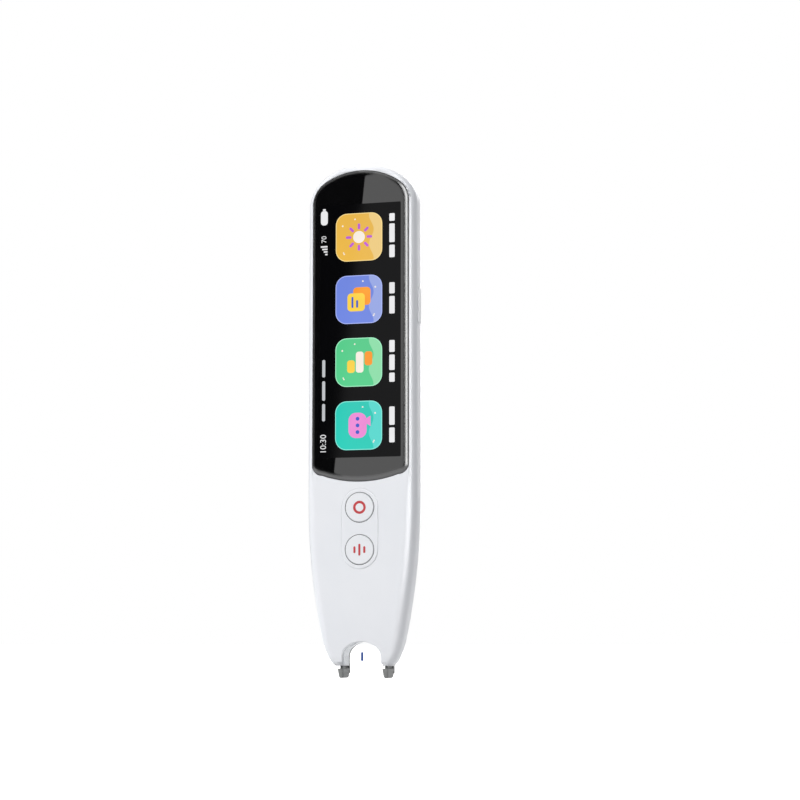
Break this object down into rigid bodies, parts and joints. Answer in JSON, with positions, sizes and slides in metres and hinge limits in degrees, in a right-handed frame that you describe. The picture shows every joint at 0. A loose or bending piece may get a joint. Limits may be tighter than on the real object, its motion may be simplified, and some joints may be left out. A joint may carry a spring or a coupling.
{
  "type": "handheld translator",
  "caption": "Pen-shaped handheld scanning translator: white two-part housing, long glass screen, two round front keys, side key and sprung two-pronged scan tip.",
  "frame": {"origin": "middle of the hand grip, on the pen's long axis, 42 mm above the prong tips", "axes": "+Z along the pen towards its charging socket, -Y out of the screen, +X towards the power key"},
  "size_m": [0.0327, 0.0129, 0.146],
  "materials": {
    "white_shell": "satin moulded white plastic",
    "key_white": "satin moulded white plastic",
    "grey_trim": "matte grey plastic",
    "black_glass": "polished, black border printed behind",
    "display_face": "lit display",
    "clear_window": "clear polished plastic",
    "lens_glass": "coated lens",
    "steel_sheet": "plain",
    "tinned_sheet": "bright tinned",
    "spring_steel": "bright wire",
    "amber_film": "amber polyimide film",
    "circuit_board": "green solder mask",
    "chip_black": "matte moulded",
    "cell_pouch": "satin foil pouch",
    "grey_foam": "closed-cell foam",
    "speaker_black": "matte",
    "mesh_cloth": "woven dust cloth",
    "black_rubber": "matte"
  },
  "bodies": {
    "pen": {"antenna_strip": "amber_film", "battery": "cell_pouch", "battery_guard_board": "circuit_board", "battery_pad": "grey_foam", "board_screws": "steel_sheet", "camera_holder": "chip_black", "camera_lens": "lens_glass", "camera_module": "chip_black", "cover_glass": "black_glass", "display_flex": "amber_film", "display_panel": "display_face", "display_tray": "steel_sheet", "front_shell": "white_shell", "key_surround": "white_shell", "main_board": "circuit_board", "microphone": "tinned_sheet", "microphone_boot": "black_rubber", "power_switch": "chip_black", "processor": "chip_black", "rear_shell": "white_shell", "ring_key_switch": "chip_black", "scan_light_board": "circuit_board", "scan_lights": "clear_window", "scan_window": "clear_window", "shield_can": "tinned_sheet", "speaker": "speaker_black", "speaker_mesh": "mesh_cloth", "talk_key_switch": "chip_black", "trigger_springs": "spring_steel", "trigger_switch": "chip_black", "usb_c_socket": "tinned_sheet"},
    "trigger": {"trigger_frame": "grey_trim"},
    "ring_button": {"ring_key": "key_white"},
    "talk_button": {"talk_key": "key_white"},
    "power_button": {"power_key": "key_white"}
  },
  "joints": [
    {"name": "trigger_press", "type": "slide", "parent": "pen", "child": "trigger", "axis": [0, 0, 1], "range_m": [0, 0.0006], "stiffness_N_per_m": 900, "springref_m": -0.0004, "deforming": ["trigger_springs"]},
    {"name": "ring_key_press", "type": "slide", "parent": "pen", "child": "ring_button", "axis": [0, 1, 0], "range_m": [0, 0.0003], "stiffness_N_per_m": 3000, "springref_m": -0.0001},
    {"name": "talk_key_press", "type": "slide", "parent": "pen", "child": "talk_button", "axis": [0, 1, 0], "range_m": [0, 0.0003], "stiffness_N_per_m": 3000, "springref_m": -0.0001},
    {"name": "power_key_press", "type": "slide", "parent": "pen", "child": "power_button", "axis": [-1, 0, 0], "range_m": [0, 0.0003], "stiffness_N_per_m": 3000, "springref_m": -0.0001}
  ]
}
